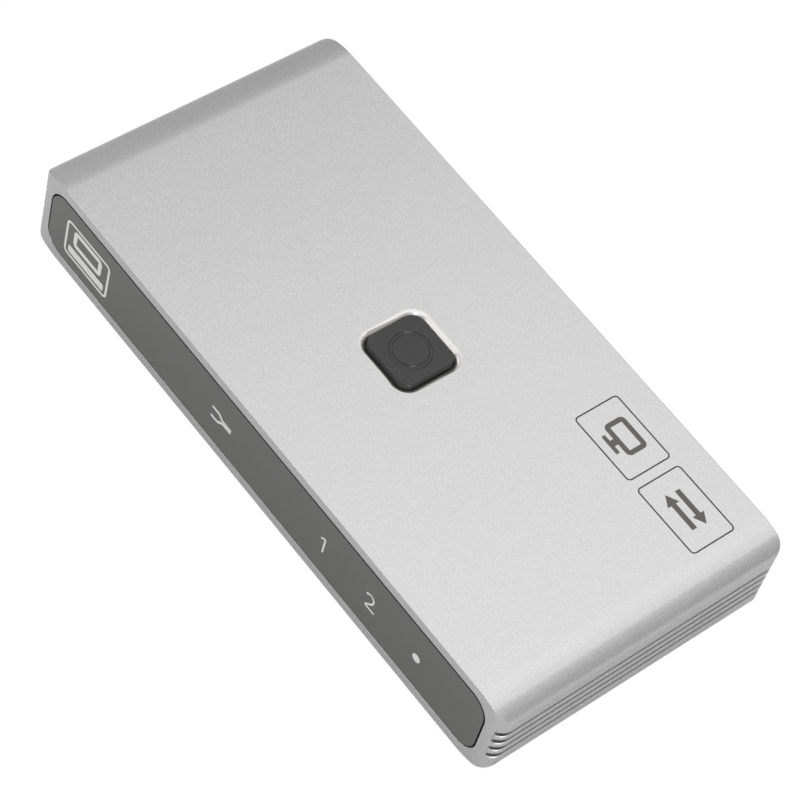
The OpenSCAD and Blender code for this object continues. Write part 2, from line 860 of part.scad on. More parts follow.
// Metal plate over the base with two ears folded down its sides
module switch_cover() {
    color(bright)
        difference() {
            union() {
                translate([-switch_side / 2 - switch_cover_t, -switch_side / 2, cover_z])
                    cube([switch_side + 2 * switch_cover_t, switch_side, switch_cover_t]);
                for (side = [-1, 1])
                    translate([side * (switch_side + switch_cover_t) / 2, 0, cover_z - ear_h / 2])
                        cube([switch_cover_t, ear_w, ear_h], center = true);
            }
            translate([0, 0, cover_z - over])
                cylinder(switch_cover_t + 2 * over, d = plunger_d + 2 * plunger_gap);
        }
}

// Thin cap of a ball that snaps through when it is pressed
module switch_dome() {
    ball_r = (dome_d ^ 2 / 4 + dome_rise ^ 2) / (2 * dome_rise);
    centre = dome_rise - ball_r;
    color(bright)
        translate([0, 0, dome_seat])
            rotate_extrude()
                intersection() {
                    square([dome_d / 2, dome_rise]);
                    translate([0, centre])
                        difference() {
                            circle(ball_r);
                            circle(ball_r - dome_t);
                        }
                }
}

module switch_plunger() {
    color(black)
        rotate_extrude()
            polygon([[0, nib_z], [plunger_nib_d / 2, nib_z], [plunger_nib_d / 2, plunger_foot_z],
                [plunger_foot_d / 2, plunger_foot_z], [plunger_foot_d / 2, plunger_foot_top],
                [plunger_d / 2, plunger_foot_top], [plunger_d / 2, plunger_top], [0, plunger_top]]);
}

module switch_legs() {
    color(bright)
        at_corners(leg_row / 2, leg_pitch / 2)
            translate([-leg_t / 2, -leg_w / 2, lead_end])
                cube([leg_t, leg_w, board_top + leg_rise - lead_end]);
}

// Hollow square cap with a ring groove, a flange that keeps it in and a post that meets the plunger
module button_cap() {
    inner = cap_side - 2 * cap_wall;
    flange = hole_side + 2 * cap_flange_w;
    color(black)
        difference() {
            union() {
                translate([0, 0, cap_flange_top])
                    linear_extrude(cap_top - cap_edge - cap_flange_top)
                        rounded_rectangle(cap_side, cap_side, cap_r);
                translate([0, 0, cap_top])
                    mirror([0, 0, 1])
                        flared_block(cap_side - 2 * cap_edge, cap_r - cap_edge, cap_edge, cap_edge);
                translate([0, 0, cap_flange_z])
                    linear_extrude(cap_flange_t)
                        rounded_rectangle(flange, flange, hole_r + cap_flange_w);
                translate([0, 0, plunger_top])
                    cylinder(cap_flange_z - plunger_top, d = cap_post_d);
            }
            translate([0, 0, plunger_top])
                linear_extrude(cap_top - cap_wall - plunger_top)
                    difference() {
                        rounded_rectangle(inner, inner, cap_r);
                        circle(d = cap_post_d);
                    }
            translate([0, 0, cap_top])
                rotate_extrude()
                    translate([ring_d / 2, 0])
                        polygon([[-ring_w / 2 - over, over], [ring_depth - ring_w / 2, -ring_depth],
                            [ring_w / 2 - ring_depth, -ring_depth], [ring_w / 2 + over, over]]);
        }
}

// One gull-wing lead at the foot of a chip's side, which lies at x = 0
module gull_lead(w, rise, run) {
    rotate([90, 0, 0])
        linear_extrude(w, center = true) {
            translate([0, rise - chip_lead_t])
                square([run, chip_lead_t]);
            translate([run - chip_lead_t, 0])
                square([chip_lead_t, rise]);
            translate([run - chip_lead_t, 0])
                square([run, chip_lead_t]);
        }
}

module switch_chip() {
    mark = chip_side / 2 - chip_mark_inset;
    color(black)
        translate([chip_at.x, chip_at.y, board_top + standoff])
            difference() {
                translate([-chip_side / 2, -chip_side / 2, 0])
                    cube([chip_side, chip_side, chip_t]);
                translate([-mark, -mark, chip_t - chip_mark_depth])
                    cylinder(chip_mark_depth + over, d = chip_mark_d);
            }
}

module chip_leads() {
    rise = standoff + chip_t / 2;
    color(bright)
        translate([chip_at.x, chip_at.y, board_top])
            for (turn = [0:90:270], i = [0:chip_leads_a_side - 1])
                rotate(turn)
                    translate([chip_side / 2, (i - (chip_leads_a_side - 1) / 2) * chip_pitch, 0])
                        gull_lead(chip_lead_w, rise, chip_lead_run);
}

module voltage_regulator() {
    color(black)
        translate([regulator_at.x, regulator_at.y, board_top + standoff + regulator_size.z / 2])
            cube(regulator_size, center = true);
}

// Three narrow leads on one side and a wide tab on the other
module regulator_leads() {
    rise = standoff + regulator_size.z / 2;
    color(bright)
        translate([regulator_at.x, regulator_at.y, board_top]) {
            for (i = [-1, 0, 1])
                rotate(-90)
                    translate([regulator_size.y / 2, i * regulator_pitch, 0])
                        gull_lead(regulator_lead_w, rise, regulator_lead_w);
            rotate(90)
                translate([regulator_size.y / 2, 0, 0])
                    gull_lead(regulator_tab_w, rise, regulator_lead_w);
        }
}

// Small block that lies on the board
module on_board(size, at, turn = 0) {
    translate([at.x, at.y, board_top + size.z / 2])
        rotate(turn)
            cube(size, center = true);
}

module filter_capacitors() {
    beside_regulator = (regulator_size.x + capacitor_size.y) / 2 + regulator_capacitor_gap;
    color("tan") {
        for (side = [-1, 1], i = [-1, 0, 1])
            on_board(capacitor_size, chip_at + [i * capacitor_pitch, side * (chip_side / 2 + capacitor_offset)]);
        for (side = [-1, 1])
            on_board(capacitor_size, regulator_at + [side * beside_regulator, 0], 90);
    }
}

module resistors() {
    x = -chip_side / 2 - capacitor_offset;
    color(black)
        for (i = [0:resistor_count - 1])
            on_board(resistor_size, chip_at + [x, (i - (resistor_count - 1) / 2) * resistor_pitch]);
}

module surge_arrays() {
    y = socket_mouth - video_depth - insert_gap - contact_foot - surge_offset;
    color(black)
        for (x = video_xs, i = [0:surge_count - 1])
            on_board(surge_size, [x + (i - (surge_count - 1) / 2) * surge_pitch, y]);
}

// Round light on its side, with a flange at the back and a domed tip
module led(i) {
    color("white")
        translate([light_x[i], led_back, light_z])
            rotate([90, 0, 0])
                rotate_extrude()
                    union() {
                        square([led_flange_d / 2, led_flange_t]);
                        square([led_d / 2, led_l - led_d / 2]);
                        translate([0, led_l - led_d / 2])
                            sector(led_d / 2, 0, 90);
                    }
}

module led_leads() {
    color(bright)
        for (x = light_x, side = [-1, 1])
            translate([x + side * wire_pitch / 2 - wire_t / 2, 0, 0]) {
                translate([0, led_back, light_z - wire_t / 2])
                    cube([wire_t, wire_run, wire_t]);
                translate([0, wire_y - wire_t, lead_end])
                    cube([wire_t, wire_t, light_z + wire_t / 2 - lead_end]);
            }
}

module cover_screws() {
    head_h = (screw_head_d - screw_d) / 2;
    color(bright)
        at_corners(boss_x, boss_y)
            translate([0, 0, shell_z]) {
                cylinder(head_h, d1 = screw_head_d, d2 = screw_d);
                cylinder(screw_l, d = screw_d);
            }
}

module rubber_feet() {
    color(black)
        at_corners(boss_x, boss_y)
            rotate_extrude() {
                square([foot_d / 2 - foot_edge, foot_h]);
                translate([0, foot_edge])
                    square([foot_d / 2, foot_h - foot_edge]);
                translate([foot_d / 2 - foot_edge, foot_edge])
                    sector(foot_edge, -90, 0);
            }
}

case_sleeve();
front_panel();
panel_tape();
front_carrier();
rear_panel();
main_board();
video_shell(input_1_x);  // input_1_shell
video_insert(input_1_x);  // input_1_insert
video_contacts(input_1_x);  // input_1_contacts
video_shell(input_2_x);  // input_2_shell
video_insert(input_2_x);  // input_2_insert
video_contacts(input_2_x);  // input_2_contacts
video_shell(output_x);  // output_shell
video_insert(output_x);  // output_insert
video_contacts(output_x);  // output_contacts
power_shell();
power_insert();
power_contacts();
switch_base();
switch_cover();
switch_dome();
switch_plunger();
switch_legs();
button_cap();
switch_chip();
chip_leads();
voltage_regulator();
regulator_leads();
filter_capacitors();
resistors();
surge_arrays();
led(0);  // led_1
led(1);  // led_2
led(2);  // led_power
led_leads();
cover_screws();
rubber_feet();
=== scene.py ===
import math

import bmesh
import bpy
from bpy.props import FloatProperty, FloatVectorProperty, PointerProperty
from bpy.types import Operator, Panel, PropertyGroup
from mathutils import Matrix, Vector


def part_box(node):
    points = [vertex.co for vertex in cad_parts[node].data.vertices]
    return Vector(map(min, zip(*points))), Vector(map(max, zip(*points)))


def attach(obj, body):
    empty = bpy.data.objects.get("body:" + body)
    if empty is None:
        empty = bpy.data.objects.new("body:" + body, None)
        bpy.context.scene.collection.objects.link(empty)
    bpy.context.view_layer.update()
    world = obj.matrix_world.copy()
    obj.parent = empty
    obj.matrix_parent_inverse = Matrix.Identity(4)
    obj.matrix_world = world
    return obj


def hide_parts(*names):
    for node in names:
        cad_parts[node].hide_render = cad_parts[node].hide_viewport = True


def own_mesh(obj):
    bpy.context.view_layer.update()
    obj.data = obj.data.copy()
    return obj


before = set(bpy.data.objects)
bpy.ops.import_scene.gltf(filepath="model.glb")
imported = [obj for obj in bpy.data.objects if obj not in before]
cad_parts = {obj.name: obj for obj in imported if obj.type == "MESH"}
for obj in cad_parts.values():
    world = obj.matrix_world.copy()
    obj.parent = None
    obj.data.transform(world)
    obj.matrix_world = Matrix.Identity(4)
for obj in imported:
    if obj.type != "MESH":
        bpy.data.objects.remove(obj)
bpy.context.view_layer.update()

bl_info = {
    "name": "Video Switch Box",
    "version": (1, 0, 0),
    "blender": (4, 5, 0),
    "location": "View3D > Sidebar > Switch Box",
    "description": "Dresses a two input video switch box and lights it on a studio stage",
    "category": "Object",
}

MM = 0.001

# Points of a copied node that are closer than this are one point
MERGE_DISTANCE = 1e-6

# Edges of a copied node that are shorter than this are closed up
SHORTEST_EDGE = 2e-5

# Triangles that lie within this angle of each other are one flat face
FLAT_ANGLE = math.radians(0.2)

# Edges that turn more than this are creases
CREASE_ANGLE = math.radians(35)

SOCKETS = ("input_1", "input_2", "output", "power")

# A face that turns at least this share of its normal one way faces that way
FACING = 0.9

# With a smaller share, down to this one, it slopes
SLOPING = 0.5

# Points this close to a face of the sleeve lie on it
NEAR = 0.1 * MM

# How far the screws stand from the middle of the box
SCREW_X = 41.0 * MM

# The chamfer round the button hole lies this near the middle and this near the top
HOLE_REACH = 6.0 * MM
HOLE_DEPTH = 1.1 * MM

# The ring in the button lies within this distance of its middle
RING_REACH = 3.6 * MM

# How far the middle of a groove stands from the middle of the sleeve's height
GROOVE_Z = 0.91 * MM

# All grooves lie this near the middle of that height, and this near the ends with their run-outs
GROOVE_SPAN = 3.8 * MM
GROOVE_RUN = 4.0 * MM

# The floor of a groove lies between these two depths
GROOVE_FLOOR = (1.0 * MM, 1.2 * MM)

# Places of the spring strips of a video socket's shell, from its middle
SPRINGS = (-3.4 * MM, 3.4 * MM)

# How much a dust speck hides of what lies below it, and how it looks
DUST_COVER = 0.5
DUST_COLOR = (0.45, 0.44, 0.42, 1.0)
DUST_ROUGHNESS = 0.7

# Cells of dust to the metre, some with a speck, and the largest speck's share of a cell
SPECK_SCALE = 900.0
SPECK_REACH = 0.2

# How far a mark reaches below its face, so that no gap shows under it
INK_SINK = 0.01 * MM

# Turn in degrees of one step of a drawn bend
BEND_STEP = 12

# Places of the front marks, across and up, in millimetres
FRONT_MARKS = {
    "mark_one": (14.45, 8.2),
    "mark_two": (24.46, 8.2),
    "mark_power": (34.25, 8.1),
    "mark_joining_lines": (-7.15, 8.1),
    "mark_screen": (-38.37, 7.93),
}

# Places and sizes of the frames on the top, across and back, in millimetres
TOP_FRAMES = {
    "left": ((25.59, 15.83), (11.5, 7.6)),
    "right": ((38.58, 15.83), (11.65, 7.6)),
}

# Each light: its name, place, width and height, and the setting of its brightness
LIGHTS = (
    ("Overhead softbox", (-0.0725, 0.27, 0.95), (0.975, 1.45), "overhead"),
    ("Front softbox", (-0.13, -0.90, 0.42), (0.25, 0.45), "front"),
    ("Side softbox", (0.82, -0.21, 0.54), (0.35, 0.35), "side"),
    ("Fill softbox", (-0.85, -0.10, 0.50), (0.6, 0.6), "fill"),
    ("Right key", (0.40, -0.24, 0.88), (0.15, 0.15), "keys"),
    ("Front key", (-0.35, -0.52, 0.78), (0.12, 0.12), "keys"),
)

# This light hangs level, and the others face the middle of the box
LEVEL_LIGHT = "Overhead softbox"

SENSOR_WIDTH = 36.0
CLIP_START = 0.01

# Half the side of the floor, how far it lies below the feet, and how bright it shows
FLOOR_HALF = 3.0
FLOOR_DROP = 0.02 * MM
FLOOR_WHITE = 1.07


# Shader helpers


def add_node(tree, kind, **values):
    """Adds a shader node and sets its properties, or else its inputs, by name."""
    node = tree.nodes.new("ShaderNode" + kind)
    for key, value in values.items():
        if hasattr(node, key):
            setattr(node, key, value)
        else:
            node.inputs[key.replace("_", " ").title()].default_value = value
    return node


def feed(tree, value, socket):
    """Links a socket to an input, or sets a plain number on it."""
    if isinstance(value, bpy.types.NodeSocket):
        tree.links.new(value, socket)
    else:
        socket.default_value = value


def calculate(tree, operation, first, second):
    """One Math node on two sockets or numbers."""
    node = add_node(tree, "Math", operation=operation)
    feed(tree, first, node.inputs[0])
    feed(tree, second, node.inputs[1])
    return node.outputs[0]


def start_group(name, inputs, outputs):
    """A new shader node group with named sockets, and its input and output nodes."""
    tree = bpy.data.node_groups.new(name, "ShaderNodeTree")
    for socket, kind in inputs:
        tree.interface.new_socket(name=socket, in_out="INPUT", socket_type="NodeSocket" + kind)
    for socket, kind in outputs:
        tree.interface.new_socket(name=socket, in_out="OUTPUT", socket_type="NodeSocket" + kind)
    entry = tree.nodes.new("NodeGroupInput").outputs
    leave = tree.nodes.new("NodeGroupOutput").inputs
    return tree, entry, leave


def surface_grain():
    """Group that breaks up a colour and a roughness with fine grain and broad clouds."""
    name = "Surface Grain"
    if name in bpy.data.node_groups:
        return bpy.data.node_groups[name]
    tree, entry, leave = start_group(
        name,
        [
            ("Vector", "Vector"),
            ("Color", "Color"),
            ("Roughness", "Float"),
            ("Grain Scale", "Float"),
            ("Grain Tone", "Float"),
            ("Grain Roughness", "Float"),
            ("Cloud Scale", "Float"),
            ("Cloud Tone", "Float"),
            ("Cloud Roughness", "Float"),
        ],
        [("Color", "Color"), ("Roughness", "Float"), ("Height", "Float")],
    )
    grain = add_node(tree, "TexNoise", detail=2.0)
    cloud = add_node(tree, "TexNoise", detail=3.0)
    for noise, scale in ((grain, "Grain Scale"), (cloud, "Cloud Scale")):
        tree.links.new(entry["Vector"], noise.inputs["Vector"])
        tree.links.new(entry[scale], noise.inputs["Scale"])
    fine = calculate(tree, "SUBTRACT", grain.outputs["Fac"], 0.5)
    broad = calculate(tree, "SUBTRACT", cloud.outputs["Fac"], 0.5)

    def spread(base, by_grain, by_cloud):
        """base, moved by the grain and by the clouds."""
        moved = calculate(tree, "ADD", base, calculate(tree, "MULTIPLY", fine, by_grain))
        return calculate(tree, "ADD", moved, calculate(tree, "MULTIPLY", broad, by_cloud))

    tone = add_node(tree, "VectorMath", operation="SCALE")
    tree.links.new(entry["Color"], tone.inputs[0])
    tree.links.new(spread(1.0, entry["Grain Tone"], entry["Cloud Tone"]), tone.inputs["Scale"])
    tree.links.new(tone.outputs[0], leave["Color"])
    rough = spread(entry["Roughness"], entry["Grain Roughness"], entry["Cloud Roughness"])
    tree.links.new(rough, leave["Roughness"])
    tree.links.new(grain.outputs["Fac"], leave["Height"])
    return tree


def dust_specks():
    """Group that gives a mask of a few small pale specks."""
    name = "Dust Specks"
    if name in bpy.data.node_groups:
        return bpy.data.node_groups[name]
    tree, entry, leave = start_group(
        name,
        [("Vector", "Vector"), ("Speck Scale", "Float"), ("Speck Share", "Float")],
        [("Mask", "Float")],
    )
    cells = add_node(tree, "TexVoronoi")
    tree.links.new(entry["Vector"], cells.inputs["Vector"])
    tree.links.new(entry["Speck Scale"], cells.inputs["Scale"])
    parts = add_node(tree, "SeparateColor")
    tree.links.new(cells.outputs["Color"], parts.inputs[0])
    chosen = calculate(tree, "LESS_THAN", parts.outputs["Red"], entry["Speck Share"])
    reach = calculate(tree, "MULTIPLY", parts.outputs["Green"], SPECK_REACH)
    near = calculate(tree, "LESS_THAN", cells.outputs["Distance"], reach)
    tree.links.new(calculate(tree, "MULTIPLY", chosen, near), leave["Mask"])
    return tree


def place_group(tree, group, vector, **values):
    """Puts a shared group in a material, reading the given coordinates."""
    node = tree.nodes.new("ShaderNodeGroup")
    node.node_tree = group
    tree.links.new(vector, node.inputs["Vector"])
    for key, value in values.items():
        node.inputs[key.replace("_", " ").title()].default_value = value
    return node


def make_finish(name, color, roughness, grain_size, grain_tone=0.08, grain_roughness=0.1,
                cloud_size=0.02, cloud_tone=0.04, cloud_roughness=0.06, relief=2e-6,
                stretch=(1.0, 1.0, 1.0), dust=0.0, **sockets):
    """A material with grain, clouds, relief and perhaps dust.

    The lengths are in metres. What sockets hold is set on the shader itself.
    """
    material = bpy.data.materials.new(name)
    material.use_nodes = True
    tree = material.node_tree
    shader = tree.nodes["Principled BSDF"]
    for key, value in sockets.items():
        shader.inputs[key.replace("_", " ").title().replace("Ior", "IOR")].default_value = value
    place = add_node(tree, "TexCoord").outputs["Object"]
    if stretch != (1.0, 1.0, 1.0):
        mapping = add_node(tree, "Mapping", scale=stretch)
        tree.links.new(place, mapping.inputs["Vector"])
        drawn = mapping.outputs[0]
    else:
        drawn = place
    grain = place_group(
        tree, surface_grain(), drawn, color=(*color, 1.0), roughness=roughness,
        grain_scale=1.0 / grain_size, grain_tone=grain_tone, grain_roughness=grain_roughness,
        cloud_scale=1.0 / cloud_size, cloud_tone=cloud_tone, cloud_roughness=cloud_roughness)
    tone = grain.outputs["Color"]
    rough = grain.outputs["Roughness"]
    if dust:
        mask = place_group(
            tree, dust_specks(), place, speck_scale=SPECK_SCALE,
            speck_share=dust).outputs["Mask"]
        mix = add_node(tree, "Mix", data_type="RGBA")
        tree.links.new(calculate(tree, "MULTIPLY", mask, DUST_COVER), mix.inputs[0])
        tree.links.new(tone, mix.inputs[6])
        mix.inputs[7].default_value = DUST_COLOR
        tone = mix.outputs[2]
        dusty = calculate(tree, "MULTIPLY", mask, DUST_ROUGHNESS)
        rough = calculate(tree, "MAXIMUM", rough, dusty)
    tree.links.new(tone, shader.inputs["Base Color"])
    tree.links.new(rough, shader.inputs["Roughness"])
    bump = add_node(tree, "Bump", strength=1.0, distance=relief)
    tree.links.new(grain.outputs["Height"], bump.inputs["Height"])
    tree.links.new(bump.outputs[0], shader.inputs["Normal"])
    return material


# Mesh helpers


def merged_copy(node, cuts=()):
    """The mesh of a CAD node with its loose triangles joined into flat faces.

    A cut is an axis and a place on it. It runs through an opening, so that no face is a ring.
    """
    bm = bmesh.new()
    bm.from_mesh(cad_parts[node].data)
    bmesh.ops.remove_doubles(bm, verts=bm.verts, dist=MERGE_DISTANCE)
    for axis, place in cuts:
        across = Vector((axis == "x", axis == "y", axis == "z"))
        cut = bmesh.ops.bisect_plane(
            bm, geom=[*bm.verts, *bm.edges, *bm.faces], dist=MERGE_DISTANCE,
            plane_co=across * place, plane_no=across)["geom_cut"]
        for item in cut:
            if isinstance(item, bmesh.types.BMEdge):
                item.seam = True
    bmesh.ops.dissolve_degenerate(bm, edges=bm.edges, dist=SHORTEST_EDGE)
    bmesh.ops.dissolve_limit(
        bm, angle_limit=FLAT_ANGLE, verts=bm.verts, edges=bm.edges, delimit={"SEAM"})
    return bm


def is_crease(edge):
    """True for an edge that stands out between two faces."""
    return edge.is_convex and edge.calc_face_angle(0.0) > CREASE_ANGLE


def within(edge, test):
    """True if the test holds at both ends of an edge."""
    return all(test(vert.co) for vert in edge.verts)


def creases(bm, test=None):
    """The edges that stand out, or those of them that lie where a test holds."""
    return [edge for edge in bm.edges
            if is_crease(edge) and (test is None or within(edge, test))]


def soften(bm, edges, width, segments=2):
    """Rounds these edges over the given width."""
    bmesh.ops.bevel(
        bm, geom=edges, offset=width, offset_type="OFFSET", affect="EDGES", segments=segments,
        profile=0.5, material=-1, clamp_overlap=False)


def new_piece(name, bm, body, materials, replaces=()):
    """Makes an object of a finished mesh, shades it, and lets it ride on its body."""
    for face in bm.faces:
        face.smooth = True
    for edge in bm.edges:
        edge.smooth = edge.calc_face_angle(0.0) < CREASE_ANGLE
    mesh = bpy.data.meshes.new(name)
    bm.to_mesh(mesh)
    bm.free()
    for material in materials:
        mesh.materials.append(material)
    piece = bpy.data.objects.new(name, mesh)
    bpy.context.scene.collection.objects.link(piece)
    weighted = piece.modifiers.new("Even shading", "WEIGHTED_NORMAL")
    weighted.keep_sharp = True
    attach(piece, body)
    if replaces:
        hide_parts(*replaces)
    return piece


def dress_copy(node, material, width, cuts=()):
    """Stands a copy with softened edges in for a CAD node of the case."""
    bm = merged_copy(node, cuts)
    soften(bm, creases(bm), width)
    new_piece(node + "_finished", bm, "case", [material], replaces=[node])


def dress_node(node, material):
    """Gives a CAD node that stays its finish."""
    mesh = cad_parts[node].data
    mesh.materials.clear()
    mesh.materials.append(material)


def middle(node):
    """The middle of a CAD node's box."""
    low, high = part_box(node)
    return (low + high) / 2


# Marks


class Pen:
    """Draws a flat line of even width from lines and bends, in the XY plane."""

    def __init__(self, bm, width, start, heading):
        turn = math.radians(heading)
        self.bm = bm
        self.width = width
        self.heading = Vector((math.cos(turn), math.sin(turn), 0.0))
        middle = Vector((*start, 0.0))
        half = self.left() * width / 2
        ends = [bm.verts.new(middle + half), bm.verts.new(middle - half)]
        self.tip = bm.edges.new(ends)

    def left(self):
        """The direction to the left of the line."""
        return Vector((-self.heading.y, self.heading.x, 0.0))

    def line(self, length):
        """Goes straight on."""
        made = bmesh.ops.extrude_edge_only(self.bm, edges=[self.tip])["geom"]
        ends = [item for item in made if isinstance(item, bmesh.types.BMVert)]
        bmesh.ops.translate(self.bm, verts=ends, vec=self.heading * length)
        self.tip = self.bm.edges.get(ends)
        return self

    def bend(self, angle, radius=None):
        """Turns left by an angle in degrees, or right if it is negative."""
        radius = self.width / 2 if radius is None else radius
        turn = math.radians(angle)
        middle = (self.tip.verts[0].co + self.tip.verts[1].co) / 2
        centre = middle + self.left() * math.copysign(radius, turn)
        made = bmesh.ops.spin(
            self.bm, geom=[self.tip, *self.tip.verts], cent=centre, axis=(0.0, 0.0, 1.0),
            angle=turn, steps=max(2, round(abs(angle) / BEND_STEP)))["geom_last"]
        self.tip = next(item for item in made if isinstance(item, bmesh.types.BMEdge))
        self.heading.rotate(Matrix.Rotation(turn, 3, "Z"))
        return self


def add_plate(bm, size, corner, centre=(0.0, 0.0)):
    """Adds a flat plate with round corners."""
    made = bmesh.ops.create_grid(bm, x_segments=1, y_segments=1, size=0.5)["verts"]
    bmesh.ops.scale(bm, vec=(*size, 1.0), verts=made)
    bmesh.ops.translate(bm, vec=(*centre, 0.0), verts=made)
    bmesh.ops.bevel(
        bm, geom=made, offset=corner, affect="VERTICES", segments=8, profile=0.5, material=-1)


def add_frame(bm, size, corner, line, centre=(0.0, 0.0)):
    """Draws a line frame with round corners."""
    bend = max(corner - line / 2, line / 2)
    across, up = (side - line - 2 * bend for side in size)
    pen = Pen(bm, line, (centre[0], centre[1] - (size[1] - line) / 2), 0).line(across / 2)
    for straight in (up, across, up, across / 2):
        pen.bend(90, bend).line(straight)


def add_outline(bm, corners):
    """Adds a flat face with these corners, in millimetres."""
    bm.faces.new([bm.verts.new((x * MM, y * MM, 0.0)) for x, y in corners])


def add_disc(bm, diameter):
    """Adds a round disc."""
    bmesh.ops.create_circle(bm, cap_ends=True, segments=32, radius=diameter / 2)


# The planes that marks are printed on: right, up and out of the face
FRONT_FACE = Matrix(((1, 0, 0), (0, 0, -1), (0, 1, 0)))
TOP_FACE = Matrix.Identity(3)


def print_mark(name, bm, face, place, ink, film):
    """Gives a flat mark the film's thickness and sets it on its face."""
    bmesh.ops.remove_doubles(bm, verts=bm.verts, dist=MERGE_DISTANCE)
    bmesh.ops.recalc_face_normals(bm, faces=bm.faces)
    down = [item for item in bm.faces if item.normal.z < 0]
    bmesh.ops.reverse_faces(bm, faces=down)
    made = bmesh.ops.extrude_face_region(bm, geom=bm.faces[:], use_keep_orig=True)["geom"]
    raised = [item for item in made if isinstance(item, bmesh.types.BMVert)]
    bmesh.ops.translate(bm, verts=raised, vec=(0.0, 0.0, film + INK_SINK))
    bmesh.ops.recalc_face_normals(bm, faces=bm.faces)
    bmesh.ops.translate(bm, verts=bm.verts, vec=(0.0, 0.0, -INK_SINK))
    bmesh.ops.transform(bm, matrix=Matrix.Translation(place) @ face.to_4x4(), verts=bm.verts)
    new_piece(name, bm, "case", [ink])


# What a user would change


def length(name, description, millimetres):
    """A length property whose default is given in millimetres."""
    return FloatProperty(
        name=name, description=description, default=millimetres * MM, min=0.0, precision=5,
        unit="LENGTH")


def tint(name, description, default):
    """A colour property."""
    return FloatVectorProperty(
        name=name, description=description, default=default, size=3, min=0.0, max=1.0,
        subtype="COLOR")


def share(name, description, default):
    """A property between 0 and 1."""
    return FloatProperty(
        name=name, description=description, default=default, min=0.0, max=1.0, subtype="FACTOR")


def brightness(name, description, default):
    """A property for the brightness of a light."""
    return FloatProperty(name=name, description=description, default=default, min=0.0)


class SleeveSettings(PropertyGroup):
    """The extruded metal body."""

    metal: tint("Metal", "Colour of the blasted metal", (0.80, 0.80, 0.80))
    roughness: share("Roughness", "How much the blasting scatters reflections", 0.35)
    grain: length("Grain", "Size of the blasted grain", 0.21)
    cut: tint("Cut metal", "Colour of the chamfer cut round the button", (0.90, 0.89, 0.87))
    # Painted shade: the groove faces get this darker colour, which stands in for the shade down in
    # the grooves
    painted_groove_shade: tint("Painted groove shade", "Colour of the metal down in the grooves", (0.46, 0.46, 0.46))
    rim_edge: length("Rim edge", "Rounding of the front and rear rims", 0.12)
    groove_edge: length("Groove edge", "Rounding of the grooves' upper lips", 0.07)
    ridge_edge: length("Ridge edge", "Rounding of the grooves' lower lips", 0.28)
    hole_edge: length("Hole edge", "Rounding of the outer edge of the button hole's chamfer", 0.05)
    hole_round: length("Hole round", "Rounding of the inner edge of that chamfer", 0.34)


class PanelSettings(PropertyGroup):
    """The panels in the two mouths of the body."""

    front: tint("Front panel", "Colour of the tinted front strip", (0.075, 0.074, 0.070))
    rear: tint("Rear panel", "Colour of the socket panel", (0.045, 0.045, 0.046))
    # Painted shade: the front strip's sides get this near black, standing in for the shadow in the
    # gap round the strip
    border: tint("Front border", "Colour of the front strip's cut edges", (0.006, 0.006, 0.006))
    front_edge: length("Front edge", "Rounding of the front panel's edges", 0.05)
    rear_edge: length("Rear edge", "Rounding of the rear panel's edges", 0.15)


class ButtonSettings(PropertyGroup):
    """The push button in the top."""

    plastic: tint("Plastic", "Colour of the button", (0.028, 0.028, 0.028))
    roughness: share("Roughness", "How satin the button is", 0.22)
    # Painted light: the button's sides get a paler colour than the top, standing in for light
    # falling on them; their matt roughness is real
    wall: tint("Wall", "Colour of the button's sides", (0.075, 0.075, 0.075))
    edge: length("Edge", "Rounding of the button's edges", 0.03)
    ring_edge: length("Ring edge", "Rounding of the ring pressed into the button", 0.02)


class MarkSettings(PropertyGroup):
    """The printed marks, all of them plain signs."""

    # The front marks' ink also glows a little, which is painted light
    white: tint("White ink", "Colour of the front marks", (0.93, 0.93, 0.92))
    grey: tint("Grey ink", "Colour of the signs on the top", (0.155, 0.148, 0.142))
    dark: tint("Dark ink", "Colour of the frames on the top", (0.05, 0.049, 0.047))
    film: length("Ink film", "Thickness of the ink", 0.015)
    numeral: length("Numeral height", "Height of the input numbers", 3.04)
    stroke: length("Numeral stroke", "Line width of the input numbers", 0.3)
    dot: length("Power dot", "Diameter of the power light's window", 1.45)
    frame_line: length("Frame line", "Line width of the frames on the top", 0.2)
    frame_corner: length("Frame corner", "Corner radius of the frames on the top", 0.68)


class StageSettings(PropertyGroup):
    """The camera, the light and the floor."""

    camera_place: FloatVectorProperty(
        name="Camera place", description="Where the camera stands", size=3,
        default=(0.149565, -0.196225, 0.346225), subtype="TRANSLATION", unit="LENGTH")
    camera_turn: FloatVectorProperty(
        name="Camera turn", description="How the camera is turned", size=3,
        default=(0.60193, -0.181337, 0.905322), subtype="EULER", unit="ROTATION")
    camera_lens: FloatProperty(
        name="Lens", description="Focal length of the camera", default=140.89, min=1.0,
        unit="CAMERA")
    overhead: brightness("Overhead light", "Brightness of the overhead softbox", 0.64)
    front: brightness("Front light", "Brightness of the front softbox", 0.6)
    side: brightness("Side light", "Brightness of the softbox on the right", 4.6)
    keys: brightness("Key lights", "Brightness of the two small keys", 3.4)
    fill: brightness("Fill light", "Brightness of the softbox on the left", 0.8)
    ambient: share("Ambient", "Brightness of the room", 0.38)
    floor: share("Floor", "How much light the floor throws back", 0.75)
    shadow: share("Shadow", "How much of the soft shadow shows on the floor", 0.1)


class SwitchBoxSettings(PropertyGroup):
    """All settings of the switch box."""

    sleeve: PointerProperty(name="Body", type=SleeveSettings)
    panels: PointerProperty(name="Panels", type=PanelSettings)
    button: PointerProperty(name="Button", type=ButtonSettings)
    marks: PointerProperty(name="Marks", type=MarkSettings)
    stage: PointerProperty(name="Stage", type=StageSettings)


# Pieces


